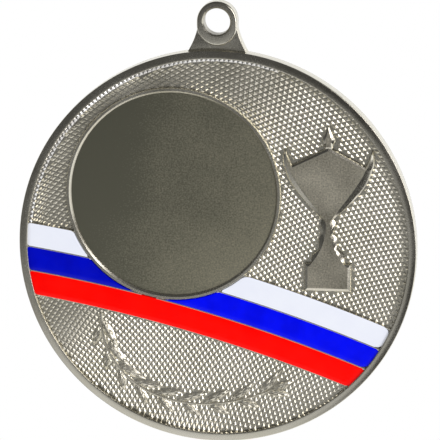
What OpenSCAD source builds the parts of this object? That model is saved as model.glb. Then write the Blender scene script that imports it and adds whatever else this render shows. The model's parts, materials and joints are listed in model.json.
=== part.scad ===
// Finisher medal: a cast, plated disc with a hanging lug, a seat for a round
// emblem, a relief cup, a relief laurel branch and a three-colour enamel band.
// It hangs face forward: +X right, +Z up through the lug, the face looks along -Y.
// Sizes are in millimetres. The sub-parts are drawn lying on their back, with the
// disc centre at the origin, and are hung from the middle of the lug hole at the end.

/* [Disc] */
// Diameter of the disc
disc_d = 50; // [46:0.5:70]
// Thickness from the back to the top of the rim
disc_t = 2.4; // [2:0.1:4]
// Width of the raised rim
rim_w = 1; // [0.8:0.05:2]
// Rounding of the outer edge of the rim
rim_round = 0.45; // [0.2:0.05:0.75]
// Rounding of the back edge
back_round = 0.25; // [0.1:0.05:0.6]
// Depth of the field below the top of the rim
field_depth = 0.65; // [0.5:0.05:0.9]

/* [Lug] */
// Diameter of the hanging hole
hole_d = 3.3; // [2:0.1:4]
// Chamfer at both mouths of the hole
hole_chamfer = 0.2; // [0.1:0.05:0.4]
// Width of the boss
boss_d = 5; // [4.8:0.1:8]
// How much longer the boss is below the hole than above it
boss_drop = 0.5; // [0.1:0.05:0.8]
// Thickness of the boss
boss_t = 2; // [1.6:0.1:3]
// Bevel round the front edge of the boss
boss_bevel = 0.2; // [0.1:0.05:0.35]
// Height of the hole above the edge of the disc
lug_reach = 3.6; // [3:0.1:6]
// Thickness of the neck plate
neck_t = 1.5; // [1:0.1:1.7]
// Width of the neck where it meets the edge of the disc
neck_foot = 7.4; // [6:0.1:10]
// Lean of the neck's sides there, off upright
neck_lean = 32; // [15:1:45]

/* [Emblem seat] */
// Diameter of the round emblem that the seat takes
emblem_d = 25; // [20:0.5:26]
// Gap all round the emblem
emblem_gap = 0.45; // [0.1:0.05:0.6]
// Depth of the seat below its ring
seat_depth = 0.4; // [0.25:0.05:0.45]
// Bevel at the mouth of the seat
seat_bevel = 0.2; // [0.1:0.05:0.22]
// Width of the flat crest of the ring
ring_crest = 0.3; // [0.2:0.05:0.6]
// Run of the sloped outer side of the ring
ring_slope = 0.15; // [0.1:0.05:0.4]
// Height of the ring above the field
ring_rise = 0.45; // [0.4:0.05:0.6]
// Gap between the ring and the rim at its nearest
ring_edge = 1.75; // [1:0.05:3]
// Direction of the seat from the disc centre
seat_dir = 129.5; // [120:0.5:140]

/* [Band] */
// Radius of the upper edge of the band
band_r = 203; // [150:1:400]
// Slope of the band, taken at its middle
band_tilt = 15; // [10:0.5:20]
// Drop of the upper edge below the disc centre
band_drop = 2.5; // [2:0.1:4]
// Width of one enamel stripe
stripe_w = 2.65; // [2:0.05:3]
// Width of the metal wall between two stripes
wall_w = 0.4; // [0.3:0.05:0.6]
// Width of the metal edge above and below the band
border_w = 0.2; // [0.15:0.05:0.5]
// Height of the walls above the field
band_rise = 0.35; // [0.2:0.05:0.45]
// Depth of the enamel troughs
trough_depth = 0.6; // [0.4:0.05:0.9]
// How far the enamel stops below the top of its walls
enamel_low = 0.05; // [0.02:0.01:0.15]

/* [Cup] */
// Height of the plinth's foot below the disc centre
cup_drop = 5.15; // [4.5:0.05:5.5]
// Gap between the tip of a handle and the rim
cup_edge = 0.65; // [0.3:0.05:2]
// Width across the bowl's brim
cup_span = 10.9; // [10.5:0.1:12]
// Height of the cup from the plinth's foot to the tips of the handles
cup_h = 18.1; // [17.5:0.1:19]
// Width of the plinth
plinth_w = 5.9; // [5:0.1:7]
// Height of the plinth
plinth_h = 3.6; // [3:0.1:4.2]
// Height of the neck, where the bowl begins
neck_h = 9.35; // [8.8:0.05:10]
// Height of the bowl's brim
brim_h = 15.6; // [15:0.1:16]
// Width of the lid
lid_w = 9.1; // [8.4:0.1:9.2]
// Rise of the lid from the brim to the finial
lid_rise = 2.8; // [2.2:0.1:3]
// Height of the finial
finial_h = 2.7; // [2.2:0.1:3]
// Width of the finial's bulb
finial_w = 1.7; // [1.4:0.1:2]
// Height of the cup above the field
cup_rise = 0.6; // [0.3:0.05:0.6]
// Run of the rounded edges of the plinth, the lid and the finial
soft_run = 0.45; // [0.3:0.05:0.5]

/* [Branch] */
// Number of leaf pairs
leaf_pairs = 9; // [5:1:10]
// Length of the leaves towards the band
leaf_inner = 4.4; // [3:0.1:5]
// Length of the leaves towards the rim
leaf_outer = 3; // [2:0.1:3.6]
// Width of a leaf
leaf_w = 1.2; // [0.8:0.05:1.4]
// Angle between a leaf and the twig
leaf_angle = 28; // [20:1:40]
// Height of the ridge of a leaf above the field
leaf_rise = 0.4; // [0.25:0.05:0.5]
// Width of the twig at its thick end
twig_w = 0.5; // [0.3:0.05:0.7]

/* [Hidden] */
$fn = 180;
// Facets of the band's large circles in a preview, so that their chords stay close to the arcs
band_fn = 1440;
// Chords of a curved outline, of an arc in one and of the rounding of a relief
curve_chords = 12;
arc_chords = 6;
round_chords = 4;

// How far one relief is sunk into what carries it
sunk = 0.3;
// Overshoot of a cut beyond the face that it opens
over = 0.1;

disc_r = disc_d / 2;
rim_r = disc_r - rim_w;
field_z = disc_t - field_depth;

hole_r = hole_d / 2;
boss_r = boss_d / 2;
lug_y = disc_r + lug_reach;

seat_r = emblem_d / 2 + emblem_gap;
ring_r = seat_r + seat_bevel + ring_crest + ring_slope;
ring_z = field_z + ring_rise;
seat_z = ring_z - seat_depth;
seat_x = (rim_r - ring_edge - ring_r) * cos(seat_dir);
seat_y = (rim_r - ring_edge - ring_r) * sin(seat_dir);

band_z = field_z + band_rise;
trough_z = band_z - trough_depth;
enamel_z = band_z - enamel_low;
band_x = -(band_r + band_drop) * sin(band_tilt);
band_y = -(band_r + band_drop) * cos(band_tilt);
stripes = 3;
band_w = stripes * stripe_w + (stripes - 1) * wall_w;

tip_w = cup_span / 2;
cup_x = sqrt(pow(rim_r - cup_edge, 2) - pow(cup_h - cup_drop, 2)) - tip_w;

plated = "#8f8b7e";
white = "#eef1fa";
blue = "#0a0ad8";
red = "#f01205";

// Points of an arc about c between two angles
function arc(c, r, angles) =
    [for (i = [0:arc_chords])
        let (a = angles[0] + (angles[1] - angles[0]) * i / arc_chords)
        c + r * [cos(a), sin(a)]];

// Point of a cubic curve at t, and its heading there
function cubic(p, t) =
    pow(1 - t, 3) * p[0] + 3 * t * pow(1 - t, 2) * p[1] + 3 * t * t * (1 - t) * p[2] + pow(t, 3) * p[3];
function heading(p, t) =
    let (d = cubic(p, t + 0.01) - cubic(p, t - 0.01)) atan2(d[1], d[0]);

// Points along a cubic curve
function along(p) = [for (i = [0:curve_chords]) cubic(p, i / curve_chords)];

// A whole outline from its half to the right of an axis that its last point lies on
function both_sides(half) =
    concat(half, [for (i = [len(half) - 2:-1:0]) [-half[i][0], half[i][1]]]);

// A relief whose sides are rounded over from its foot, on the field, to its flat crest.
// Both outlines run counterclockwise and have as many points.
module relief(foot, crest, rise) {
    n = len(foot);
    rounding = [for (k = [0:round_chords])
        let (t = k / round_chords)
        for (i = [0:n - 1])
            let (p = foot[i] + (crest[i] - foot[i]) * t)
            [p[0], p[1], field_z + rise * (1 - pow(1 - t, 2))]];
    points = concat([for (p = foot) [p[0], p[1], field_z - sunk]], rounding);
    sides = [for (k = [0:round_chords]) for (i = [0:n - 1])
        let (a = k * n + i, b = k * n + (i + 1) % n)
        each [[a, a + n, b + n], [a, b + n, b]]];
    last = (round_chords + 1) * n;
    polyhedron(points, concat(sides, [[for (i = [0:n - 1]) i], [for (i = [n - 1:-1:0]) last + i]]));
}

// Turned outline of the disc: rounded rim outside, sharp step down to the field
module disc_profile() {
    difference() {
        union() {
            square([disc_r - rim_round, disc_t - rim_round]);
            translate([0, back_round]) square([disc_r, disc_t - rim_round - back_round]);
            translate([0, disc_t - rim_round - over]) square([disc_r - rim_round, rim_round + over]);
            translate([disc_r - rim_round, disc_t - rim_round]) circle(rim_round);
            square([disc_r - back_round, back_round + over]);
            translate([disc_r - back_round, back_round]) circle(back_round);
        }
        translate([-over, field_z]) square([rim_r + over, field_depth + over]);
    }
}

// Turned outline of the ring round the emblem seat, before the seat is sunk in it
module ring_profile() {
    polygon([
        [0, field_z - sunk], [ring_r, field_z - sunk], [ring_r, field_z],
        [ring_r - ring_slope, ring_z], [0, ring_z]
    ]);
}

// Turned outline of the seat's hollow: flat floor, straight wall and bevelled mouth
module seat_profile() {
    polygon([
        [0, seat_z], [seat_r, seat_z], [seat_r, ring_z - seat_bevel],
        [seat_r + seat_bevel + over, ring_z + over], [0, ring_z + over]
    ]);
}

// The lug's neck: its sides leave the boss downwards and lean out to the edge of the disc
module neck_outline() {
    foot = [neck_foot / 2, sqrt(pow(disc_r, 2) - pow(neck_foot / 2, 2))];
    bend = lug_reach / 3;
    top = [boss_r - over, lug_y - over];
    side = along([foot, foot + bend * [-sin(neck_lean), cos(neck_lean)], top - [0, bend], top]);
    right = concat([foot - [0, rim_w / 2]], side);
    polygon(concat(right, [for (i = [len(right) - 1:-1:0]) [-right[i][0], right[i][1]]]));
}

// Half outline of the boss, from its middle to its bevelled edge
function boss_half() =
    [[0, 0], [boss_r, 0], [boss_r, boss_t - boss_bevel], [boss_r - boss_bevel, boss_t], [0, boss_t]];

// The boss round the hanging hole, drawn out downwards
module boss() {
    for (y = [lug_y, lug_y - boss_drop])
        translate([0, y, 0]) rotate_extrude() polygon(boss_half());
    translate([0, lug_y, 0]) rotate([90, 0, 0]) linear_extrude(boss_drop) for (side = [0, 1])
        mirror([side, 0]) polygon(boss_half());
}

// The hole with a chamfer at both mouths
module lug_hole() {
    mouth_r = hole_r + hole_chamfer;
    translate([0, lug_y, -over]) cylinder(h = boss_t + 2 * over, r = hole_r);
    translate([0, lug_y, 0]) cylinder(h = hole_chamfer, r1 = mouth_r, r2 = hole_r);
    translate([0, lug_y, boss_t - hole_chamfer]) cylinder(h = hole_chamfer, r1 = hole_r, r2 = mouth_r);
}

// Part of the band between two depths below its upper edge, cut to a circle
module band_outline(from, to, limit_r) {
    intersection() {
        translate([band_x, band_y]) difference() {
            circle(band_r - from, $fn = band_fn);
            circle(band_r - to, $fn = band_fn);
        }
        circle(limit_r);
    }
}

// One stripe of the band: it runs from rim to rim and stops at the seat's ring
module stripe_outline(i) {
    from = i * (stripe_w + wall_w);
    difference() {
        band_outline(from, from + stripe_w, rim_r);
        translate([seat_x, seat_y]) circle(ring_r);
    }
}

// The half of the face on one side of the seat's middle, square to the band: -1 left, 1 right
module half_face(side) {
    lean = atan2(seat_x - band_x, seat_y - band_y);
    translate([seat_x, seat_y]) rotate(-lean) translate([side * disc_d / 2, 0])
        square([disc_d, 2 * disc_d], center = true);
}

// The stem's knops: middle off the axis and radius as shares of the plinth's half width,
// middle along the stem as a share of its height
knops = [[0.42, 0.11, 0.3], [0.07, 0.49, 0.34], [0.15, 0.9, 0.17]];
// Where a knop's arc starts and ends
knop_sweep = [-45, 75];
// The crest of the stem: shares of the plinth's half width and of the stem's height
stem_crest = [[0.76, -0.05], [0.34, 0.23], [0.1, 0.47], [0.085, 0.99]];
// The bowl's swept side at its foot and at its crest: shares of the brim's half width and
// of the bowl's height
bowl_foot = [[0.14, 0], [0.47, 0.24], [0.91, 0.62], [1, 1]];
bowl_crest = [[0.05, 0.04], [0.23, 0.26], [0.67, 0.68], [0.77, 0.98]];
// Height of the lid's edge above the brim
eave = 0.4;
// A handle's edges at its foot and at its crest, up its outer side and down to the lid:
// shares of the brim's half width and of the handle's height
handle_foot = [[[1, 0], [1.06, 0.2], [1.07, 0.6], [1.01, 1]],
               [[0.985, 1], [0.93, 0.6], [0.88, 0.35], [lid_w / cup_span, eave / (cup_h - brim_h)]]];
handle_crest = [[[0.77, -0.05], [0.86, 0.1], [0.955, 0.4], [0.98, 0.8]],
                [[0.965, 0.81], [0.935, 0.45], [0.83, 0.25], [(lid_w / 2 - soft_run) / tip_w, 0.07]]];
// Where the arc of the finial's bulb starts and ends
bulb_sweep = [-45, 45];
// How far the finial stays below the crest of the bowl
finial_step = 0.1;

// Points of the bowl's side, of a handle's edges and of the stem's crest, from below
function bowl_side(shares) =
    along([for (s = shares) [s[0] * tip_w, neck_h + s[1] * (brim_h - neck_h)]]);
function handle_side(edges) =
    [for (k = [0, 1])
        let (guides = [for (s = edges[k]) [s[0] * tip_w, brim_h + s[1] * (cup_h - brim_h)]])
        for (i = [1 - k:curve_chords]) cubic(guides, i / curve_chords)];
function stem_side(n) =
    let (guides = [for (s = stem_crest) [s[0] * plinth_w / 2, plinth_h + s[1] * (neck_h - plinth_h)]])
    [for (i = [0:n - 1]) cubic(guides, (i + 0.5) / n)];

// Half outlines of the cup to the right of its axis, from the plinth up: its foot and its crest
function knop_side() =
    [for (k = knops)
        let (middle = [k[0] * plinth_w / 2, plinth_h + k[1] * (neck_h - plinth_h)])
        each arc(middle, k[2] * plinth_w / 2, knop_sweep)];
function cup_foot() =
    concat([[plinth_w / 2, 0], [plinth_w / 2, plinth_h]], knop_side(), bowl_side(bowl_foot),
           handle_side(handle_foot), [[0, brim_h + lid_rise]]);
function cup_crest() =
    let (edge = plinth_w / 2 - soft_run)
    concat([[edge, soft_run], [edge, plinth_h - soft_run]], stem_side(len(knop_side())),
           bowl_side(bowl_crest), handle_side(handle_crest), [[0, brim_h + lid_rise - soft_run]]);

// Half outline of the finial, drawn in by some run: neck, bulb and tip
function finial_half(run) =
    let (base = brim_h + lid_rise)
    concat([[(finial_w - run) / 4, base + run - soft_run]],
           arc([0, base + finial_h / 3], finial_w / 2 - run, bulb_sweep),
           [[0, base + finial_h - run]]);

// The relief cup: plinth, stem, bowl with its handles and lid, then the finial
module cup() {
    translate([cup_x, -cup_drop, 0]) {
        relief(both_sides(cup_foot()), both_sides(cup_crest()), cup_rise);
        relief(both_sides(finial_half(0)), both_sides(finial_half(soft_run)), cup_rise - finial_step);
    }
}

// Path of the twig: distance in from the rim and direction of each guide point
twig_guides = [[6.7, 211.3], [-0.5, 232.8], [0.3, 262.7], [4.6, 294.3]];
twig_path = [for (g = twig_guides) (rim_r - g[0]) * [cos(g[1]), sin(g[1])]];
// Where the first and last pairs of leaves and the end leaf stand along the twig
first_pair = 0.02;
last_pair = 0.92;
end_leaf = 0.97;
// How far the outer leaf of a pair is ahead of the inner one
stagger = 0.03;

// A pointed leaf with a ridge along it, its stalk at the origin, along +X
module leaf(length) {
    bow = (length * length + leaf_w * leaf_w) / (4 * leaf_w);
    rise = leaf_rise + sunk;
    intersection() {
        linear_extrude(rise) intersection_for (side = [-1, 1])
            translate([length / 2, side * (bow - leaf_w / 2)]) circle(bow);
        rotate([90, 0, 90]) linear_extrude(length)
            polygon([[-leaf_w, 0], [leaf_w, 0], [leaf_w / 2, sunk], [0, rise], [-leaf_w / 2, sunk]]);
    }
}

// The twig: a ridge that thins from its cut end to its tip
module twig() {
    rings = 24;
    section = [[-0.5, -sunk], [0.5, -sunk], [0.5, 0], [0, 0.7 * leaf_rise], [-0.5, 0]];
    n = len(section);
    points = [for (k = [0:rings])
        let (t = k / rings, at = cubic(twig_path, t), turn = heading(twig_path, t))
        let (w = twig_w * (1 - 0.5 * t))
        for (s = section)
            [at[0] - w * s[0] * sin(turn), at[1] + w * s[0] * cos(turn), field_z + s[1]]];
    sides = [for (k = [0:rings - 1]) for (i = [0:n - 1])
        [k * n + i, k * n + (i + 1) % n, (k + 1) * n + (i + 1) % n, (k + 1) * n + i]];
    polyhedron(points, concat(sides, [[for (i = [n - 1:-1:0]) i], [for (i = [0:n - 1]) rings * n + i]]));
}

module branch() {
    twig();
    for (k = [0:leaf_pairs - 1]) {
        t = first_pair + (last_pair - first_pair) * k / (leaf_pairs - 1);
        leaf_at(t, leaf_angle, leaf_inner);
        leaf_at(t + stagger, -leaf_angle, leaf_outer);
    }
    leaf_at(end_leaf, 0, leaf_outer);
}

// A leaf that stands on the twig at t and turns off it by an angle
module leaf_at(t, angle, length) {
    at = cubic(twig_path, t);
    translate([at[0], at[1], field_z - sunk]) rotate(heading(twig_path, t) + angle) leaf(length);
}

// Hang a face-up piece from the middle of the lug hole, face forward
module hang() {
    translate([0, boss_t / 2, -lug_y]) rotate([90, 0, 0]) children();
}

// One stripe of enamel, filling its trough to just below the walls
module enamel(i) {
    translate([0, 0, trough_z]) linear_extrude(enamel_z - trough_z) stripe_outline(i);
}

module enamel_half(i, side) {
    translate([0, 0, trough_z]) linear_extrude(enamel_z - trough_z) intersection() {
        stripe_outline(i);
        half_face(side);
    }
}

module medal_body() {
    color(plated) hang() difference() {
        union() {
            rotate_extrude() disc_profile();
            translate([0, 0, field_z - sunk]) linear_extrude(band_rise + sunk)
                band_outline(-border_w, band_w + border_w, rim_r + over);
            translate([seat_x, seat_y, 0]) rotate_extrude() ring_profile();
            cup();
            branch();
            linear_extrude(neck_t) neck_outline();
            boss();
        }
        for (i = [0:stripes - 1])
            translate([0, 0, trough_z]) linear_extrude(trough_depth + over) stripe_outline(i);
        translate([seat_x, seat_y, 0]) rotate_extrude() seat_profile();
        lug_hole();
    }
}

module enamel_white_left() { color(white) hang() enamel_half(0, -1); }
module enamel_white_right() { color(white) hang() enamel_half(0, 1); }
module enamel_blue_left() { color(blue) hang() enamel_half(1, -1); }
module enamel_blue_right() { color(blue) hang() enamel_half(1, 1); }
module enamel_red() { color(red) hang() enamel(2); }

medal_body();
enamel_white_left();
enamel_white_right();
enamel_blue_left();
enamel_blue_right();
enamel_red();
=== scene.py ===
"""Looks of a plated finisher medal: bright cast relief, engine-turned field and poured enamel stripes."""
import json
import logging
import math
from dataclasses import dataclass, field
from enum import Enum
from typing import Any, Sequence

import bmesh
import bpy
from mathutils import Matrix, Vector

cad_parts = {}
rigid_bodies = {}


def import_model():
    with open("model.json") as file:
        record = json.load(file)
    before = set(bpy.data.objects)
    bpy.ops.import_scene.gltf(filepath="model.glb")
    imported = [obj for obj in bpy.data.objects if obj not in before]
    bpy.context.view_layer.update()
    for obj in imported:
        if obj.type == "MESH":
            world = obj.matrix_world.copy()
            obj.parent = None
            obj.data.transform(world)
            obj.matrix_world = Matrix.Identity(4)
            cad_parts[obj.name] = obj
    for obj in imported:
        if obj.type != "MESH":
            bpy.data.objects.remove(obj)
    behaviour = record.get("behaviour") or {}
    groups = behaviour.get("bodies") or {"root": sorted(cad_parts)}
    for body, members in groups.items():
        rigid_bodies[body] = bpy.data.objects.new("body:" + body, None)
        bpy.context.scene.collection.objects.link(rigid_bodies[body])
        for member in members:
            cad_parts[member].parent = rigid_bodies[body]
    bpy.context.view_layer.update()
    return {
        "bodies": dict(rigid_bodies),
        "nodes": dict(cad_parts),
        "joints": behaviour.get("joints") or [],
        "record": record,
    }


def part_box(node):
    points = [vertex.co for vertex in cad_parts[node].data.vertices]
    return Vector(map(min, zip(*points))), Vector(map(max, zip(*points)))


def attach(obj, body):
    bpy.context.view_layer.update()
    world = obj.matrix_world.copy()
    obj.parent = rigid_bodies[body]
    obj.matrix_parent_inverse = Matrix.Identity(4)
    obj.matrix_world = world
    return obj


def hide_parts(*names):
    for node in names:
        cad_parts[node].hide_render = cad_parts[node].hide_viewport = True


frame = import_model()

BODY = "root"
CASTING = ("medal_body",)
MM = 0.001
LOG = logging.getLogger("medal")

# Millimetres: doubles merged, slivers dissolved, levels taken as equal, fine relief sunk in the field.
MERGE = 1e-4
SLIVER = 1e-5
CLOSE = 1e-3
SINK = 0.02

ARC_STEPS = 6

Point = tuple[float, float]
Triple = tuple[float, float, float]
Colour = Triple
Curve = tuple[Point, Point, Point, Point]
Socket = bpy.types.NodeSocket
BMesh = bmesh.types.BMesh


class Slot(Enum):
    """The record's material slots."""

    METAL = "plated_metal"
    WHITE = "white_enamel"
    BLUE = "blue_enamel"
    RED = "red_enamel"


class Half(Enum):
    """Which part of a stripe a pool of enamel fills."""

    LEFT = -1
    WHOLE = 0
    RIGHT = 1


def arc(centre: Point, radius: float, start: float, stop: float, steps: int = ARC_STEPS) -> list[Point]:
    """Points of an arc.

    Args:
        centre: Middle of the arc.
        radius: Its radius.
        start: First direction in degrees.
        stop: Last direction in degrees.
        steps: Number of chords.

    Returns:
        The points from start to stop, both included.
    """
    turns = [math.radians(start + (stop - start) * k / steps) for k in range(steps + 1)]
    return [(centre[0] + radius * math.cos(a), centre[1] + radius * math.sin(a)) for a in turns]


def cubic(guides: Sequence[Vector], t: float) -> Vector:
    """Point at t of the cubic curve with four guide points."""
    s = 1 - t
    return guides[0] * s**3 + guides[1] * 3 * t * s * s + guides[2] * 3 * t * t * s + guides[3] * t**3


def circles_meet(a: Vector, ra: float, b: Vector, rb: float) -> list[Vector]:
    """Where two circles cross.

    Args:
        a: Centre of the first circle.
        ra: Its radius.
        b: Centre of the second circle.
        rb: Its radius.

    Returns:
        No point, or the crossing left of the line from a to b and then the one right of it.
    """
    line = b - a
    gap = line.length
    along = (gap * gap + ra * ra - rb * rb) / (2 * gap)
    if abs(along) >= ra:
        return []
    rise = math.sqrt(ra * ra - along * along)
    unit = line / gap
    side = Vector((-unit.y, unit.x))
    return [a + unit * along + side * rise, a + unit * along - side * rise]


@dataclass(frozen=True)
class Layout:
    """Places that every sub-assembly shares, in millimetres on the face, with z counted from the back."""

    disc_r: float
    thickness: float
    centre_z: float
    back_y: float
    hole_r: float
    lug_y: float
    seat: Vector
    seat_r: float
    rim_w: float = 1.0
    field_z: float = 1.75
    sunk: float = 0.15

    @property
    def rim_r(self) -> float:
        """Radius of the rim's inner wall."""
        return self.disc_r - self.rim_w

    @classmethod
    def from_frame(cls, packed: dict[str, Any]) -> "Layout":
        """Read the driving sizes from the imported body's box and mounts.


        Returns:
            The layout of this medal.
        """
        low, high = (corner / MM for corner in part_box("medal_body"))
        mounts = {m["name"]: m for m in packed["record"]["mounts"]}
        disc_r = (high.x - low.x) / 2
        centre_z = low.z + disc_r
        hole, seat = mounts["lug_hole"], mounts["emblem_seat"]
        return cls(
            disc_r=disc_r,
            thickness=high.y - low.y,
            centre_z=centre_z,
            back_y=high.y,
            hole_r=hole["dims"]["r_mm"],
            lug_y=hole["pos_m"][2] / MM - centre_z,
            seat=Vector((seat["pos_m"][0] / MM, seat["pos_m"][2] / MM - centre_z)),
            seat_r=seat["dims"]["r_mm"],
        )

    def hang(self) -> Matrix:
        """Matrix from the face, in millimetres, to the hanging medal, in metres."""
        place = Matrix.Translation((0, self.back_y, self.centre_z))
        return Matrix.Scale(MM, 4) @ place @ Matrix.Rotation(math.pi / 2, 4, "X")


class Shader:
    """Short calls for laying out a material's nodes."""

    noise_low = 0.36
    noise_high = 0.64

    def __init__(self, tree: bpy.types.NodeTree) -> None:
        """Start from a node tree, which is emptied."""
        self.tree = tree
        tree.nodes.clear()

    def add(self, kind: str, inputs: dict[Any, Any] | None = None, **settings: Any) -> bpy.types.Node:
        """Add a node.

        Args:
            kind: Blender's name for the kind of node.
            inputs: Values or other nodes' outputs, by socket name or number.
            settings: Properties of the node itself.

        Returns:
            The node.
        """
        made = self.tree.nodes.new(kind)
        for name, value in settings.items():
            setattr(made, name, value)
        for name, value in (inputs or {}).items():
            socket = made.inputs[name]
            if isinstance(value, Socket):
                self.tree.links.new(value, socket)
            else:
                socket.default_value = value
        return made

    def reckon(self, operation: str, *values: Any) -> Socket:
        """Result of a sum on grey values."""
        return self.add("ShaderNodeMath", dict(enumerate(values)), operation=operation).outputs[0]

    def along(self, where: Socket, way: Sequence[float]) -> Socket:
        """How far a vector reaches along a way."""
        return self.add("ShaderNodeVectorMath", {0: where, 1: way}, operation="DOT_PRODUCT").outputs["Value"]

    def coordinates(self, scale: Triple = (1.0, 1.0, 1.0)) -> Socket:
        """Object coordinates, stretched."""
        source = self.add("ShaderNodeTexCoord").outputs["Object"]
        return self.add("ShaderNodeMapping", {"Vector": source, "Scale": scale}).outputs["Vector"]

    def noise(self, where: Socket, scale: float, detail: float = 3.0) -> Socket:
        """A noise pattern's grey value."""
        inputs = {"Vector": where, "Scale": scale, "Detail": detail}
        return self.add("ShaderNodeTexNoise", inputs).outputs["Fac"]

    def spread(self, value: Socket, low: float, high: float) -> Socket:
        """Spread a noise's middle range.

        Args:
            value: The noise's grey value.
            low: What the foot of its middle range becomes.
            high: What the top of it becomes.

        Returns:
            The value between low and high.
        """
        inputs = {"Value": value, "From Min": self.noise_low, "From Max": self.noise_high,
                  "To Min": low, "To Max": high}
        return self.add("ShaderNodeMapRange", inputs).outputs["Result"]

    def blend(self, share: Socket, a: Colour, b: Colour) -> Socket:
        """Mix two colours.

        Args:
            share: Share of the second colour.
            a: The first colour.
            b: The second colour.

        Returns:
            The mixed colour.
        """
        mix = self.add("ShaderNodeMix", {"Factor": share}, data_type="RGBA")
        for socket, tone in zip((s for s in mix.inputs if s.type == "RGBA"), (a, b)):
            socket.default_value = (*tone, 1.0)
        return next(s for s in mix.outputs if s.type == "RGBA")

    def toward(self, ray: Socket, way: Triple, start: float, full: float) -> Socket:
        """How far a ray points a given way.

        Args:
            ray: The ray's direction.
            way: The direction asked for.
            start: Cosine at which the value leaves 0.
            full: Cosine at which it reaches 1.

        Returns:
            A smooth value from 0 to 1.
        """
        cosine = self.along(ray, Vector(way).normalized())
        inputs = {"Value": cosine, "From Min": start, "From Max": full}
        return self.add("ShaderNodeMapRange", inputs, interpolation_type="SMOOTHSTEP").outputs["Result"]

    def level(self, share: Socket, a: Any, b: Any) -> Socket:
        """A strength between a and b."""
        return self.add("ShaderNodeMix", {"Factor": share, "A": a, "B": b}).outputs["Result"]

    def surface(self, height: Socket, depth: float, strength: float, inputs: dict[str, Any]) -> None:
        """Close a material with a bumped surface.

        Args:
            height: Grey value of the bumps.
            depth: Their depth in millimetres.
            strength: How much of them shows.
            inputs: The surface's other values, by socket name.
        """
        bump = self.add("ShaderNodeBump", {"Height": height, "Distance": depth * MM, "Strength": strength})
        skin = self.add("ShaderNodeBsdfPrincipled", {**inputs, "Normal": bump.outputs["Normal"]})
        self.add("ShaderNodeOutputMaterial", {"Surface": skin.outputs["BSDF"]})


def blank_material(name: str) -> tuple[bpy.types.Material, Shader]:
    """Make an empty material.

    Args:
        name: Its name.

    Returns:
        The material and the shader that lays out its nodes.
    """
    material = bpy.data.materials.new(name)
    material.use_nodes = True
    return material, Shader(material.node_tree)


@dataclass(frozen=True)
class PlatedMetal:
    """Nickel plate over a casting: cloudy tone, fine grain, on a worked face brush marks and, on the brushed
    seat, painted shade and light as a straight gradient across the face.
    """

    name: str
    cloud: float = 160.0
    fine: float = 5200.0
    fine_detail: float = 2.0
    streaks: Triple = (5200.0, 5200.0, 400.0)
    streak_detail: float = 4.0
    tone: Colour = (0.82, 0.79, 0.69)
    tarnish_and_painted_shade: Colour = (0.70, 0.67, 0.56)
    roughness: Point = (0.20, 0.28)
    grain: float = 0.10
    brush: float = 0.0
    mark_depth: float = 0.02
    # A straight gradient along the object's coordinates: painted shade on one side and painted light on the
    # other. level shifts where that painted shading is centred.
    painted_sheen: Triple = (0.0, 0.0, 0.0)
    level: float = 0.0
    metallic: float = 1.0
    slot: Slot = Slot.METAL

    def make(self) -> bpy.types.Material:
        """Build the material.

        Returns:
            The material.
        """
        material, shader = blank_material(self.name)
        plain = shader.coordinates()
        cloud = shader.noise(plain, self.cloud)
        fine = shader.noise(plain, self.fine, self.fine_detail)
        streak = shader.noise(shader.coordinates(self.streaks), 1.0, self.streak_detail)
        # The base colour mixes random tone and grain with the painted shading gradient.
        mottle_and_painted_shade = shader.reckon("ADD", shader.along(plain, self.painted_sheen), shader.reckon("ADD", cloud, fine))
        wear_and_painted_shade = shader.reckon("MULTIPLY_ADD", mottle_and_painted_shade, 0.5, self.level)
        marks = shader.reckon("MULTIPLY_ADD", streak, self.brush, shader.reckon("MULTIPLY", fine, self.grain))
        shader.surface(marks, self.mark_depth, 1.0, {
            "Base Color": shader.blend(shader.spread(wear_and_painted_shade, 0.0, 1.0), self.tarnish_and_painted_shade, self.tone),
            "Roughness": shader.spread(wear_and_painted_shade, *self.roughness),
            "Metallic": self.metallic,
        })
        return material


@dataclass(frozen=True)
class Enamel:
    """Poured enamel under a clear gloss, a little uneven where it ran."""

    name: str
    slot: Slot
    tone: Colour
    thin: Colour
    flow: float = 420.0
    ripple: float = 700.0
    ripple_detail: float = 1.0
    ripple_depth: float = 0.01
    ripple_strength: float = 0.3
    roughness: Point = (0.06, 0.10)
    specular: float = 0.2

    def make(self) -> bpy.types.Material:
        """Build the material.

        Returns:
            The material.
        """
        material, shader = blank_material(self.name)
        plain = shader.coordinates()
        flow = shader.noise(plain, self.flow)
        ripple = shader.noise(plain, self.ripple, self.ripple_detail)
        shader.surface(ripple, self.ripple_depth, self.ripple_strength, {
            "Base Color": shader.blend(shader.spread(flow, 0.0, 1.0), self.thin, self.tone),
            "Roughness": shader.spread(ripple, *self.roughness),
            "Specular IOR Level": self.specular,
        })
        return material


Finish = PlatedMetal | Enamel

CAST = PlatedMetal("plate_cast")
# A near-white copy of the plate: painted highlight for the row of wedges along the rim.
PAINTED_HIGHLIGHT_PLATE = PlatedMetal("plate_painted_highlight", tone=(0.97, 0.97, 0.96), tarnish_and_painted_shade=(0.92, 0.91, 0.89))
MATT = PlatedMetal("plate_matt", cloud=60.0, tone=(0.60, 0.58, 0.51), tarnish_and_painted_shade=(0.50, 0.48, 0.42),
                   roughness=(0.36, 0.44), brush=0.2)
LEAF = PlatedMetal("plate_leaf", roughness=(0.24, 0.34), metallic=0.86)
STRUCK = PlatedMetal("plate_struck", roughness=(0.19, 0.25), metallic=0.8)
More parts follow.
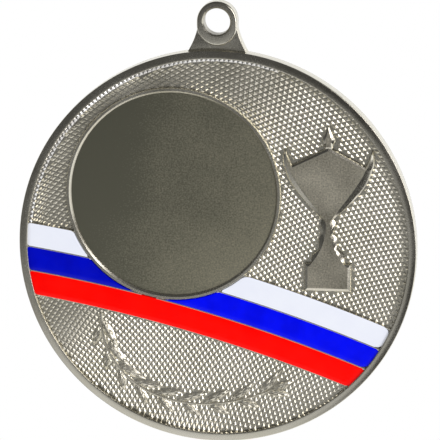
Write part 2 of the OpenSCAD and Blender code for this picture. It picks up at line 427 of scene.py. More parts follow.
# The seat floor's colour is painted darker towards its top left and lighter towards its lower right: painted
# shade and light.
BRUSHED = PlatedMetal("plate_brushed", cloud=50.0, tone=(0.70, 0.66, 0.49), tarnish_and_painted_shade=(0.31, 0.305, 0.23),
                      roughness=(0.30, 0.40), brush=0.3, painted_sheen=(30.0, 0.0, -9.0), level=-0.13)
SATIN = PlatedMetal("plate_satin", tone=(0.80, 0.76, 0.63), tarnish_and_painted_shade=(0.30, 0.28, 0.22),
                    roughness=(0.46, 0.56), grain=0.5, brush=0.3, metallic=0.95)

WHITE = Enamel("enamel_white", Slot.WHITE, (0.79, 0.82, 0.90), (0.77, 0.80, 0.89))
BLUE = Enamel("enamel_blue", Slot.BLUE, (0.0, 0.003, 0.86), (0.0, 0.002, 0.74))
# A darker copy of the blue enamel: painted shade for the band's left blue pool.
BLUE_PAINTED_SHADE = Enamel("enamel_blue_painted_shade", Slot.BLUE, (0.0, 0.003, 0.50), (0.0, 0.002, 0.42))
RED = Enamel("enamel_red", Slot.RED, (1.0, 0.002, 0.0), (0.94, 0.001, 0.0))


def added(name: str, data: bpy.types.ID) -> bpy.types.Object:
    """Add an object to the scene.

    Args:
        name: Its name.
        data: Its mesh, camera or light.

    Returns:
        The object.
    """
    made = bpy.data.objects.new(name, data)
    bpy.context.scene.collection.objects.link(made)
    return made


@dataclass
class Bench:
    """Where meshes are turned into finished pieces: it knows the layout and makes each finish once."""

    layout: Layout
    made: dict[Finish, bpy.types.Material] = field(default_factory=dict)

    def finish(self, look: Finish) -> bpy.types.Material:
        """Look up a finish, which is made at its first use.

        Args:
            look: The finish.

        Returns:
            Its material.
        """
        if look not in self.made:
            self.made[look] = look.make()
        return self.made[look]

    def piece(self, name: str, bm: BMesh, looks: Sequence[Finish], stands_for: Sequence[str] = CASTING,
              crease: float = 32.0) -> None:
        """Hang a mesh on the medal as a named piece.

        Args:
            name: Name of the piece.
            bm: Its mesh on the face, in millimetres. It is used up.
            looks: Finishes in the order of the faces' material indices. Edges between two stay sharp.
            stands_for: CAD nodes that it replaces.
            crease: Edges that turn by more than this many degrees stay sharp.
        """
        bmesh.ops.remove_doubles(bm, verts=bm.verts, dist=MERGE)
        bmesh.ops.dissolve_degenerate(bm, edges=bm.edges, dist=SLIVER)
        bmesh.ops.recalc_face_normals(bm, faces=bm.faces)
        bmesh.ops.transform(bm, matrix=self.layout.hang(), verts=bm.verts)
        bm.edges.index_update()
        seams = [e.index for e in bm.edges if len({f.material_index for f in e.link_faces}) > 1]
        mesh = bpy.data.meshes.new(name)
        bm.to_mesh(mesh)
        bm.free()
        for look in looks:
            mesh.materials.append(self.finish(look))
        mesh.shade_smooth()
        mesh.set_sharp_from_angle(angle=math.radians(crease))
        for k in seams:
            mesh.edges[k].use_edge_sharp = True
        made = added(name, mesh)
        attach(made, BODY)
        if stands_for:
            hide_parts(*stands_for)
        LOG.info("%s: %d faces", name, len(mesh.polygons))


def turned(bm: BMesh, profile: Sequence[Point], centre: Vector, steps: int, closed: bool = False,
           start: float = 0.0, sweep: float = math.tau) -> None:
    """Turn a profile about an axis that stands on the face.

    Args:
        bm: Mesh that receives it.
        profile: Points as radius and height.
        centre: Foot of the axis on the face.
        steps: Steps of the turn.
        closed: Whether the profile's last point joins its first, as on a ring.
        start: Direction in which the profile stands at first, in radians.
        sweep: How far it is turned, in radians.
    """
    x, y = math.cos(start), math.sin(start)
    verts = [bm.verts.new((centre.x + r * x, centre.y + r * y, z)) for r, z in profile]
    pairs = list(zip(verts, verts[1:]))
    if closed:
        pairs.append((verts[-1], verts[0]))
    edges = [bm.edges.new(pair) for pair in pairs]
    bmesh.ops.spin(bm, geom=verts + edges, cent=(centre.x, centre.y, 0), axis=(0, 0, 1),
                   angle=sweep, steps=steps, use_merge=(sweep == math.tau), use_duplicate=False)


def loft(bm: BMesh, rings: Sequence[Sequence[Vector]]) -> bmesh.types.BMFace:
    """Skin closed rings one after the other and close both ends.

    Args:
        bm: Mesh that receives the skin.
        rings: Rings of points, with as many points each.

    Returns:
        The face that closes the last ring.
    """
    last: list[bmesh.types.BMEdge] = []
    ends = []
    for ring in rings:
        verts = [bm.verts.new(p) for p in ring]
        edges = [bm.edges.new(pair) for pair in zip(verts, verts[1:] + verts[:1])]
        if last:
            bmesh.ops.bridge_loops(bm, edges=last + edges)
        last = edges
        ends.append(verts)
    bm.faces.new(ends[0])
    return bm.faces.new(ends[-1])


def rounded(foot: Sequence[Point], crest: Sequence[Point], low: float, base: float, top: float,
            profile: Sequence[Point]) -> list[list[Vector]]:
    """Rings of a relief whose sides slope up to a flat top.

    Args:
        foot: Outline where the relief meets the field.
        crest: Outline of its flat top, with as many points.
        low: Height at which it ends inside the field.
        base: Height of the field.
        top: Height of the flat top.
        profile: Steps of the side, as shares of the way in and of the way up.

    Returns:
        The rings from the lowest to the top.
    """
    rings = [[Vector((*p, low)) for p in foot]]
    for run, climb in profile:
        z = base + (top - base) * climb
        rings.append([Vector((*Vector(p).lerp(Vector(q), run), z)) for p, q in zip(foot, crest)])
    return rings


def inside(spot: Vector, outline: Sequence[Point]) -> bool:
    """Tell whether a spot lies inside an outline.

    Args:
        spot: The spot.
        outline: Points of the closed outline.

    Returns:
        Whether it lies inside.
    """
    hit = False
    for (ax, ay), (bx, by) in zip(outline, [*outline[1:], outline[0]]):
        if (ay > spot.y) != (by > spot.y) and spot.x < ax + (bx - ax) * (spot.y - ay) / (by - ay):
            hit = not hit
    return hit


def open_edges(bm: BMesh) -> list[bmesh.types.BMEdge]:
    """Edges at which a mesh isn't closed."""
    return [e for e in bm.edges if e.is_boundary]


def close_under(bm: BMesh, floor_z: float) -> None:
    """Give a sheet a skirt down to a level and a bottom there.

    Args:
        bm: Mesh that holds one open sheet.
        floor_z: Height of the bottom.
    """
    skirt = bmesh.ops.extrude_edge_only(bm, edges=open_edges(bm))["geom"]
    for v in skirt:
        if isinstance(v, bmesh.types.BMVert):
            v.co.z = floor_z
    bmesh.ops.holes_fill(bm, edges=open_edges(bm))


def blunt(bm: BMesh, foot: float, crown: float, height: float, place: Matrix) -> None:
    """Add a blunt pyramid with four sides.

    Args:
        bm: Mesh that receives it.
        foot: From its middle to a corner of its foot.
        crown: The same at its top.
        height: From foot to top.
        place: Where its middle goes.
    """
    bmesh.ops.create_cone(bm, cap_ends=True, cap_tris=False, segments=4, radius1=foot, radius2=crown,
                          depth=height, matrix=place)


def absorb(bm: BMesh, part: BMesh) -> None:
    """Add a small mesh to a large one.

    Args:
        bm: Mesh that receives it.
        part: The small mesh. It is used up.
    """
    spare = bpy.data.meshes.new("spare")
    part.to_mesh(spare)
    part.free()
    bm.from_mesh(spare)
    bpy.data.meshes.remove(spare)


@dataclass
class Disc:
    """The round blank: field, raised rim with a rounded shoulder, wall and plain back."""

    bench: Bench
    draft: float = 0.04
    lip: float = 0.06
    lip_turn: float = 170.0
    crown: float = 0.1
    crown_steps: int = 6
    shoulder: float = 0.12
    shoulder_turn: float = 75.0
    back_round: float = 0.25
    steps: int = 288
    metal: PlatedMetal = CAST
    back: PlatedMetal = MATT

    def build(self) -> None:
        """Turn the blank's outline."""
        at = self.bench.layout
        top, edge, inner = at.thickness, at.disc_r, at.rim_r
        profile = [(0.0, at.field_z), (inner - self.draft, at.field_z)]
        profile += arc((inner + self.lip, top - self.lip), self.lip, self.lip_turn, 90, 4)
        start, stop = inner + self.lip, edge - self.shoulder
        shares = [k / self.crown_steps for k in range(1, self.crown_steps + 1)]
        profile += [(start + (stop - start) * s, top - self.crown * s**2) for s in shares]
        low = top - self.crown - self.shoulder
        profile += arc((stop, low), self.shoulder, self.shoulder_turn, 0)
        profile += arc((edge - self.back_round, self.back_round), self.back_round, 0, -90, 5)
        profile.append((0.0, 0.0))
        bm = bmesh.new()
        turned(bm, profile, Vector((0, 0)), self.steps)
        for face in bm.faces:
            face.material_index = int(face.calc_center_median().z < CLOSE)
        self.bench.piece("disc", bm, [self.metal, self.back])


@dataclass
class Lug:
    """The hanging lug: a rounded boss with a chamfered hole, on a lower neck that widens to the rim."""

    bench: Bench
    boss_r: float = 2.5
    boss_t: float = 2.0
    boss_drop: float = 0.5
    boss_round: float = 0.25
    chamfer: float = 0.2
    neck_t: float = 1.5
    neck_foot: float = 7.4
    neck_lean: float = 32.0
    neck_bevel: float = 0.2
    neck_tuck: float = 0.1
    neck_reach: float = 2.0
    neck_chords: int = 10
    steps: int = 96
    metal: PlatedMetal = CAST
    # The bore takes the matt plate: a rougher finish, and its darker tone is painted shade inside the hole.
    bore: PlatedMetal = MATT

    def build(self) -> None:
        """Build the boss, longer below its hole, and its neck."""
        at = self.bench.layout
        top, edge, soft, cut = self.boss_t, self.boss_r, self.boss_round, self.chamfer
        profile = arc((edge - soft, top - soft), soft, 90, 0)
        profile += arc((edge - cut, cut), cut, 0, -90, 3)
        mouth = at.hole_r + cut
        profile += [(mouth, 0.0), (at.hole_r, cut), (at.hole_r, top - cut), (mouth, top)]
        bm = bmesh.new()
        turned(bm, profile, Vector((0, at.lug_y)), self.steps, closed=True)
        for v in bm.verts:
            below = at.lug_y - v.co.y
            if below > CLOSE and math.hypot(v.co.x, below) > mouth + CLOSE:
                v.co.y -= self.boss_drop
        for face in bm.faces:
            middle = face.calc_center_median()
            off_axis = math.hypot(middle.x, middle.y - at.lug_y)
            face.material_index = int(off_axis < at.hole_r + cut / 4)
        self.bench.piece("lug_boss", bm, [self.metal, self.bore])
        self.neck()

    def neck(self) -> None:
        """Build the neck plate between two hollow sides, from the boss down into the rim."""
        at = self.bench.layout
        foot_x = self.neck_foot / 2
        foot_y = math.sqrt(at.disc_r**2 - foot_x**2)
        start = Vector((self.boss_r - self.neck_tuck, at.lug_y - self.neck_tuck))
        foot = Vector((foot_x, foot_y))
        bend = (at.lug_y - at.disc_r) / 3
        lean = math.radians(self.neck_lean)
        rise = bend * Vector((-math.sin(lean), math.cos(lean)))
        guides = [start, start - Vector((0, bend)), foot + rise, foot]
        side = [cubic(guides, k / self.neck_chords) for k in range(self.neck_chords + 1)]
        ends = [(foot_x, foot_y - at.rim_w / 2), *(tuple(p) for p in reversed(side)),
                (self.boss_r / 2, at.lug_y - self.neck_reach)]
        bm = bmesh.new()
        right = [bm.verts.new((x, y, 0)) for x, y in ends]
        left = [bm.verts.new((-x, y, 0)) for x, y in reversed(ends)]
        plate = bm.faces.new(right + left)
        grown = bmesh.ops.extrude_face_region(bm, geom=[plate])["geom"]
        lifted = [v for v in grown if isinstance(v, bmesh.types.BMVert)]
        bmesh.ops.translate(bm, vec=(0, 0, self.neck_t), verts=lifted)
        sharp = [e for e in bm.edges if all(v in lifted for v in e.verts)]
        bmesh.ops.bevel(bm, geom=sharp, offset=self.neck_bevel, offset_type="OFFSET", segments=4,
                        profile=0.5, affect="EDGES", material=-1, clamp_overlap=True)
        self.bench.piece("lug_neck", bm, [self.metal])


@dataclass
class EmblemSeat:
    """The flat round seat and the narrow ring that stands round it."""

    bench: Bench
    floor_z: float = 1.8
    crest_z: float = 2.2
    bevel: float = 0.2
    bevel_h: float = 0.18
    crest: float = 0.3
    edge: float = 0.05
    slope: float = 0.15
    foot: float = 0.05
    margin: float = 0.1
    steps: int = 224
    metal: PlatedMetal = CAST
    floor: PlatedMetal = BRUSHED

    @property
    def ring_r(self) -> float:
        """Radius of the ring's outer foot."""
        return self.bench.layout.seat_r + self.bevel + self.crest + self.slope

    def build(self) -> None:
        """Turn the ring and its floor."""
        at = self.bench.layout
        mouth, outer, buried = at.seat_r + self.bevel, self.ring_r, at.field_z - at.sunk
        profile = [(0.0, self.floor_z), (at.seat_r - self.foot, self.floor_z)]
        profile += [(at.seat_r, self.floor_z + self.foot), (at.seat_r, self.crest_z - self.bevel_h)]
        profile += [(mouth, self.crest_z), (mouth + self.crest, self.crest_z)]
        profile += [(mouth + self.crest + self.edge, self.crest_z - self.edge), (outer, at.field_z)]
        profile += [(outer, buried), (0.0, buried)]
        bm = bmesh.new()
        turned(bm, profile, at.seat, self.steps)
        for face in bm.faces:
            face.material_index = int(abs(face.calc_center_median().z - self.floor_z) < CLOSE)
        self.bench.piece("emblem_ring", bm, [self.metal, self.floor])

    def covers(self, spot: Vector) -> bool:
        """Whether a spot of the field lies under the ring."""
        return (spot - self.bench.layout.seat).length < self.ring_r - self.margin


@dataclass(frozen=True)
class Pour:
    """One pool of enamel, with its stripe counted from the top and its corners' radii.

    The corners are the upper left, the lower left, the upper right and the lower right one.
    """

    node: str
    stripe: int
    half: Half
    look: Enamel
    corners: tuple[float, float, float, float]


POURS = (
    Pour("enamel_white_left", 0, Half.LEFT, WHITE, (0.15, 0.15, 0.3, 0.2)),
    Pour("enamel_white_right", 0, Half.RIGHT, WHITE, (0.6, 0.3, 0.9, 0.8)),
    # The left blue pool takes the darker copy of the blue: painted shade.
    Pour("enamel_blue_left", 1, Half.LEFT, BLUE_PAINTED_SHADE, (0.15, 0.15, 0.15, 0.15)),
    Pour("enamel_blue_right", 1, Half.RIGHT, BLUE, (0.15, 0.15, 0.3, 0.7)),
    Pour("enamel_red", 2, Half.WHOLE, RED, (0.15, 0.15, 0.3, 0.35)),
)


def pulled_in(corner: float, near: float) -> float:
    """How far a rounded corner draws an end in, this near to the long side."""
    miss = max(corner - near, 0.0)
    return corner - math.sqrt(corner * corner - miss * miss)


@dataclass
class Band:
    """The slanting band: metal walls on arcs about one centre, with enamel poured between them."""

    bench: Bench
    ring_r: float
    upper_r: float = 203.0
    tilt: float = 15.0
    drop: float = 2.5
    stripes: int = 3
    stripe_w: float = 2.65
    wall_w: float = 0.4
    border_w: float = 0.2
    wall_z: float = 2.1
    wall_round: float = 0.08
    wall_tuck: float = 0.3
    lap: float = 0.13
    proud: float = 0.005
    dome: float = 0.03
    dome_run: float = 0.5
    pour: float = 0.3
    margin: float = 0.1
    along: int = 120
    across: int = 14
    metal: PlatedMetal = CAST

    @property
    def centre(self) -> Vector:
        """Common centre of the band's arcs."""
        lean = math.radians(self.tilt)
        return Vector((-math.sin(lean), -math.cos(lean))) * (self.upper_r + self.drop)

    @property
    def pitch(self) -> float:
        """From one stripe to the next."""
        return self.stripe_w + self.wall_w

    @property
    def width(self) -> float:
        """From the top of the first stripe to the foot of the last."""
        return self.stripes * self.stripe_w + (self.stripes - 1) * self.wall_w

    def covers(self, spot: Vector) -> bool:
        """Whether a spot of the field lies under the band or close beside it."""
        depth = self.upper_r - (spot - self.centre).length
        return -self.margin < depth < self.width + self.margin

    def ends(self, radius: float, half: Half) -> tuple[float, float]:
        """Directions between which an arc of the band shows.

        Args:
            radius: The arc's radius.
            half: Which side of the emblem's ring is asked for.

        Returns:
            The directions of its left and right end from the band's centre, in radians.
        """
        at = self.bench.layout
        rim = circles_meet(self.centre, radius, Vector((0, 0)), at.rim_r)
        ring = circles_meet(self.centre, radius, at.seat, self.ring_r)
        left, right = sorted(rim, key=lambda p: p.x)
        if half is Half.LEFT and ring:
            right = min(ring, key=lambda p: p.x)
        if half is Half.RIGHT and ring:
            left = max(ring, key=lambda p: p.x)
        return tuple(math.atan2(p.y - self.centre.y, p.x - self.centre.x) for p in (left, right))

    def build(self) -> None:
        """Build the walls and pour the pools."""
        self.walls()
        for pour in POURS:
            self.pool(pour)

    def walls(self) -> None:
        """Sweep the metal walls along their arcs, sunk at both ends in what they meet."""
        at = self.bench.layout
        starts = [k * self.pitch + self.stripe_w for k in range(self.stripes - 1)]
        tops = [(-self.border_w, 0.0), *((near, near + self.wall_w) for near in starts),
                (self.width, self.width + self.border_w)]
        bm = bmesh.new()
        for near, far in tops:
            inner, outer = self.upper_r - far, self.upper_r - near
            middle = (inner + outer) / 2
            halves = [Half.LEFT, Half.RIGHT]
            if not circles_meet(self.centre, middle, at.seat, self.ring_r):
                halves = [Half.WHOLE]
            for half in halves:
                self.wall(bm, inner, outer, *self.ends(middle, half))
        self.bench.piece("band_walls", bm, [self.metal])

    def wall(self, bm: BMesh, inner: float, outer: float, left: float, right: float) -> None:
        """Sweep one wall.

        Args:
            bm: Mesh that receives it.
            inner: Radius of its lower side.
            outer: Radius of its upper side.
            left: Direction of its left end, in radians.
            right: Direction of its right end, in radians.
        """
        at = self.bench.layout
        soft, low = self.wall_round, at.field_z - at.sunk
        tuck = self.wall_tuck / self.upper_r
        profile = [(inner, low), *arc((inner + soft, self.wall_z - soft), soft, 180, 90, 3),
                   *arc((outer - soft, self.wall_z - soft), soft, 90, 0, 3), (outer, low)]
        turned(bm, profile, self.centre, self.along, closed=True, start=right - tuck,
               sweep=left - right + 2 * tuck)
        bmesh.ops.holes_fill(bm, edges=open_edges(bm))

    def pool(self, pour: Pour) -> None:
        """Pour one pool of enamel, lapping over its walls.

        Args:
            pour: Which pool, its finish and its corners.
        """
        top = self.upper_r - pour.stripe * self.pitch + self.lap
        width = self.stripe_w + 2 * self.lap
        bm = bmesh.new()
        bmesh.ops.create_grid(bm, x_segments=self.along, y_segments=self.across, size=0.5)
        for v in bm.verts:
            s, t = v.co.x + 0.5, v.co.y + 0.5
            radius = top - width * t
            left, right = self.ends(radius, pour.half)
            near = width * min(t, 1 - t)
            low = int(t > 0.5)
            left -= pulled_in(pour.corners[low], near) / radius
            right += pulled_in(pour.corners[2 + low], near) / radius
            angle = left + (right - left) * s
            edge = min(near, min(s, 1 - s) * abs(right - left) * radius)
            swell = 1 - max(0.0, 1 - edge / self.dome_run) ** 2
            v.co = (self.centre.x + radius * math.cos(angle), self.centre.y + radius * math.sin(angle),
                    self.wall_z + self.proud + self.dome * swell)
        close_under(bm, self.wall_z - self.pour)
        self.bench.piece(f"{pour.node}_pool", bm, [pour.look], [pour.node])


@dataclass
class Cup:
    """The relief cup: knopped stem on a plinth, swept bowl, lid, finial and two upright handles.

    Curves are given by their guides, as shares of half a width and of the height that they climb.
    Its flat top reaches further out on the left, where the bowl's side is steeper.
    """

    bench: Bench
    axis_x: float = 13.97
    foot_y: float = -5.15
    plinth_w: float = 5.9
    plinth_h: float = 3.6
    side: float = 0.45
    neck_h: float = 9.35
    bowl_w: float = 10.9
    bowl_h: float = 15.6
    handle_h: float = 18.1
    lid_h: float = 18.4
    finial_w: float = 1.7
    finial_h: float = 2.7
    finial_drop: float = 0.1
    rise: float = 0.6
    margin: float = 0.2
    chords: int = 12
    profile: tuple[Point, ...] = ((0.0, 0.0), (0.02, 0.5), (0.25, 0.73), (1.0, 1.0))
    knops: tuple[Triple, ...] = ((0.42, 0.11, 0.3), (0.07, 0.49, 0.34), (0.15, 0.9, 0.17))
    knop_turn: Point = (-45.0, 75.0)
    bowl_foot: Curve = ((0.14, 0.0), (0.47, 0.24), (0.91, 0.62), (1.0, 1.0))
    handle_foot_up: Curve = ((1.0, 0.0), (1.06, 0.2), (1.07, 0.6), (1.01, 1.0))
    handle_foot_down: Curve = ((0.985, 1.0), (0.93, 0.6), (0.88, 0.35), (0.835, 0.16))
    stem_top: Curve = ((0.76, -0.05), (0.34, 0.22), (0.09, 0.44), (0.07, 0.91))
    bowl_top_right: Curve = ((0.05, -0.06), (0.25, 0.22), (0.66, 0.62), (0.85, 0.99))
    bowl_top_left: Curve = ((0.05, -0.06), (0.29, 0.22), (0.72, 0.62), (0.905, 0.99))
    handle_top_right: Curve = ((0.85, -0.03), (0.90, 0.1), (0.965, 0.4), (0.985, 0.8))
    handle_top_left: Curve = ((0.905, -0.03), (0.93, 0.1), (0.97, 0.4), (0.985, 0.8))
    handle_top_down: Curve = ((0.97, 0.81), (0.94, 0.45), (0.88, 0.2), (0.82, 0.06))
    metal: PlatedMetal = CAST
    top: PlatedMetal = SATIN
    stands_on: list[list[Point]] = field(default_factory=list)

    def outline(self, right: Sequence[Point], left: Sequence[Point]) -> list[Point]:
        """Close an outline round both halves.

        Args:
            right: The right half, from its foot to the axis, with x counted from the axis.
            left: The left half, drawn as if it were on the right.

        Returns:
            The outline on the face.
        """
        both = [*right, *((-x, y) for x, y in reversed(left[:-1]))]
        return [(self.axis_x + x, self.foot_y + y) for x, y in both]

    def on_stem(self, x: float, y: float) -> Point:
        """Point given as shares of half the plinth's width and of the stem's height."""
        return x * self.plinth_w / 2, self.plinth_h + y * (self.neck_h - self.plinth_h)

    def swept(self, curve: Curve, base: float, top: float) -> list[Point]:
        """Points along a curve of the bowl or a handle.

        Args:
            curve: Its guides.
            base: Height at which it starts.
            top: Height to which the shares lead.

        Returns:
            The points.
        """
        guides = [Vector((x * self.bowl_w / 2, base + y * (top - base))) for x, y in curve]
        return [tuple(cubic(guides, k / self.chords)) for k in range(self.chords + 1)]

    def bowl(self, bowl: Curve, up: Curve, down: Curve) -> list[Point]:
        """Half an outline above the stem.

        Args:
            bowl: Side of the bowl.
            up: Outer side of the handle.
            down: Its inner side, down to the lid.

        Returns:
            The points, without the lid's peak.
        """
        side = self.swept(bowl, self.neck_h, self.bowl_h)
        outer, inner = (self.swept(curve, self.bowl_h, self.handle_h) for curve in (up, down))
        return side + outer[1:] + inner

    def foot(self) -> list[Point]:
        """Outline where the cup stands on the field.

        Returns:
            The outline.
        """
        half = [(self.plinth_w / 2, 0.0), (self.plinth_w / 2, self.plinth_h)]
        for x, y, radius in self.knops:
            half += arc(self.on_stem(x, y), radius * self.plinth_w / 2, *self.knop_turn)
        half += self.bowl(self.bowl_foot, self.handle_foot_up, self.handle_foot_down)
        half.append((0.0, self.lid_h))
        return self.outline(half, half)

    def crest(self) -> list[Point]:
        """Outline of the cup's flat top.

        Returns:
            The outline, with as many points as the foot.
        """
        edge = self.plinth_w / 2 - self.side
        guides = [Vector(self.on_stem(x, y)) for x, y in self.stem_top]
        count = len(self.knops) * (ARC_STEPS + 1)
        stem = [tuple(cubic(guides, (k + 0.5) / count)) for k in range(count)]
        halves = []
        for bowl, up in ((self.bowl_top_right, self.handle_top_right),
                         (self.bowl_top_left, self.handle_top_left)):
            halves.append([(edge, self.side), (edge, self.plinth_h - self.side), *stem,
                           *self.bowl(bowl, up, self.handle_top_down), (0.0, self.lid_h - self.side)])
        return self.outline(*halves)

    def finial(self) -> tuple[list[Point], list[Point]]:
        """Foot and crest of the onion on the lid.

        Returns:
            The two outlines.
        """
        outlines = []
        knob = (0.0, self.lid_h + self.finial_h / 3)
        for run in (0.0, self.side):
            half = [((self.finial_w - run) / 4, self.lid_h + run - self.side),
                    *arc(knob, self.finial_w / 2 - run, -45, 45), (0.0, self.lid_h + self.finial_h - run)]
            outlines.append(self.outline(half, half))
        return outlines[0], outlines[1]

    def build(self) -> None:
        """Raise the cup and its finial."""
        at = self.bench.layout
        low, base, top = at.field_z - at.sunk, at.field_z, at.field_z + self.rise
        bm = bmesh.new()
        for foot, crest, drop in ((self.foot(), self.crest(), 0.0), (*self.finial(), self.finial_drop)):
            loft(bm, rounded(foot, crest, low, base, top - drop, self.profile)).material_index = 1
            self.stands_on.append(foot)
        self.bench.piece("relief_cup", bm, [self.metal, self.top], crease=21.0)

    def covers(self, spot: Vector) -> bool:
        """Whether a spot of the field lies under the cup or close beside it."""
        steps = [Vector(way) * self.margin for way in ((0, 0), (1, 0), (-1, 0), (0, 1), (0, -1))]
        return any(inside(spot + step, outline) for outline in self.stands_on for step in steps)


@dataclass(frozen=True)
class Leaf:
    """A leaf's place on the face, with the matrix back to the leaf, and its length from stalk to tip."""

    place: Matrix
    inverse: Matrix
    length: float


@dataclass
class Branch:
    """The relief laurel branch: ridged leaves with strokes, in pairs along a thin twig.

    The twig's guides are distances in from the rim and directions in degrees.
    """

    bench: Bench
    guides: Curve = ((6.7, 211.3), (-0.5, 232.8), (0.3, 262.7), (4.6, 294.3))
    pairs: int = 9
    inner: float = 4.4
    outer: float = 3.0
    leaf_w: float = 1.2
    leaf_angle: float = 28.0
    leaf_rise: float = 0.34
    leaf_grid: tuple[int, int] = (10, 4)
    belly_skew: float = 0.85
    belly_lift: float = 0.6
    ridge: float = 1.4
    first: float = 0.02
    last: float = 0.92
    end: float = 0.97
    stagger: float = 0.03
    stroke_l: float = 0.5
    stroke_w: float = 0.2
    stroke_h: float = 0.12
    stroke_sink: float = 0.03
    stroke_crown: float = 0.3
    stroke_out: float = 0.42
    stroke_at: tuple[float, ...] = (0.24, 0.5, 0.76)
    twig_w: float = 0.5
    twig_h: float = 0.24
    twig_steps: int = 32
    nudge: float = 0.01
    reach: float = 0.1
    clear: float = 0.1
    metal: PlatedMetal = LEAF
    leaves: list[Leaf] = field(default_factory=list)

    def path(self) -> list[Vector]:
        """Guide points of the twig's curve on the face."""
        polar = [(self.bench.layout.rim_r - gap, math.radians(turn)) for gap, turn in self.guides]
        return [Vector((math.cos(a), math.sin(a))) * r for r, a in polar]

    def heading(self, t: float) -> float:
        """Direction of the twig at t, in radians."""
        step = cubic(self.path(), t + self.nudge) - cubic(self.path(), t - self.nudge)
        return math.atan2(step.y, step.x)

    def stations(self) -> list[tuple[float, float, float]]:
        """Set out the leaves.

        Returns:
            For each leaf its place along the twig, its turn off it in degrees and its length.
        """
        made = []
        for k in range(self.pairs):
            t = self.first + (self.last - self.first) * k / (self.pairs - 1)
            made += [(t, self.leaf_angle, self.inner), (t + self.stagger, -self.leaf_angle, self.outer)]
        return made + [(self.end, 0.0, self.outer)]

    def placed(self, t: float, turn: float) -> Matrix:
        """Stand something on the twig.

        Args:
            t: Where on the twig.
            turn: How far it is turned off the twig, in degrees.

        Returns:
            The matrix that puts it there.
        """
        at = cubic(self.path(), t)
        spin = Matrix.Rotation(self.heading(t) + math.radians(turn), 4, "Z")
        return Matrix.Translation((at.x, at.y, self.bench.layout.field_z)) @ spin

    def belly(self, along: float) -> float:
        """A leaf's width at a share of its length, as a share of its full width."""
        return math.sin(math.pi * along ** self.belly_skew)

    def crown(self, along: float, out: float) -> float:
        """A leaf's height at a share of its length and a share of the way from its ridge to its edge."""
        return self.leaf_rise * (1 - out ** self.ridge) * self.belly(along) ** self.belly_lift

    def build(self) -> None:
        """Build the leaves, their strokes and the twig."""
        bm = bmesh.new()
        for t, turn, length in self.stations():
            place = self.placed(t, turn)
            self.leaves.append(Leaf(place, place.inverted(), length))
            self.leaf(bm, self.leaves[-1])
        for leaf in self.leaves:
            self.strokes(bm, leaf)
        self.twig(bm)
        self.bench.piece("laurel_branch", bm, [self.metal], crease=26.0)

    def leaf(self, bm: BMesh, leaf: Leaf) -> None:
        """Add one pointed leaf with a ridge.

        Args:
            bm: Mesh that receives it.
            leaf: Where it goes and how long it is.
        """
        one = bmesh.new()
        columns, rows = self.leaf_grid
        bmesh.ops.create_grid(one, x_segments=columns, y_segments=rows, size=0.5)
        for v in one.verts:
            s, t = v.co.x + 0.5, v.co.y * 2
            v.co = (leaf.length * s, self.leaf_w / 2 * t * self.belly(s), self.crown(s, abs(t)) - SINK)
        close_under(one, -self.bench.layout.sunk)
        bmesh.ops.transform(one, matrix=leaf.place, verts=one.verts)
        absorb(bm, one)

    def height(self, spot: Vector) -> float:
        """Measure the leaves at a spot.

        Args:
            spot: A spot of the field.

        Returns:
            How high the leaves stand there.
        """
        best = 0.0
        for leaf in self.leaves:
            local = leaf.inverse @ Vector((*spot, 0.0))
            along = local.x / leaf.length
            if 0 < along < 1:
                out = abs(local.y) / (self.leaf_w / 2 * self.belly(along))
                if out < 1:
                    best = max(best, self.crown(along, out))
        return best

    def covers(self, spot: Vector) -> bool:
        """Whether the leaves stand clear over a spot of the field."""
        return self.height(spot) > self.clear

    def slope(self, spot: Vector) -> Vector:
        """Slope of the leaves at a spot, along x and along y."""
        steps = (Vector((self.reach, 0.0)), Vector((0.0, self.reach)))
        return Vector([(self.height(spot + s) - self.height(spot - s)) / (2 * self.reach) for s in steps])

    def strokes(self, bm: BMesh, leaf: Leaf) -> None:
        """Lay strokes along both halves of a leaf.

        Args:
            bm: Mesh that receives them.
            leaf: The leaf.
        """
        long, wide = leaf.place.col[0].xy * self.stroke_l, leaf.place.col[1].xy * self.stroke_w
        for share in self.stroke_at:
            out = self.stroke_out * self.leaf_w / 2 * self.belly(share)
            for side in (-out, out):
                spot = (leaf.place @ Vector((leaf.length * share, side, 0.0))).xy
                lean = self.slope(spot)
                base = self.bench.layout.field_z - self.stroke_sink + self.height(spot)
                stand = Matrix(((long.x, wide.x, 0, spot.x), (long.y, wide.y, 0, spot.y),
                                (lean @ long, lean @ wide, 1, base + self.stroke_h / 2), (0, 0, 0, 1)))
                blunt(bm, 1.0, self.stroke_crown, self.stroke_h, stand)

    def twig(self, bm: BMesh) -> None:
        """Sweep the twig along its curve, thinning to half its width.

        Args:
            bm: Mesh that receives it.
        """
        rings = []
        for t in (k / self.twig_steps for k in range(self.twig_steps + 1)):
            place = self.placed(t, 90.0)
            half = self.twig_w / 2 * (1 - t / 2)
            bow = arc((0.0, 0.0), 1.0, 0, 180)
            rings.append([place @ Vector((half * x, 0, self.twig_h * z - SINK)) for x, z in bow])
        loft(bm, rings)


Relief = EmblemSeat | Band | Cup | Branch


def taken(spot: Vector, reliefs: Sequence[Relief]) -> bool:
    """Whether any of the reliefs covers a spot of the field."""
    return any(relief.covers(spot) for relief in reliefs)


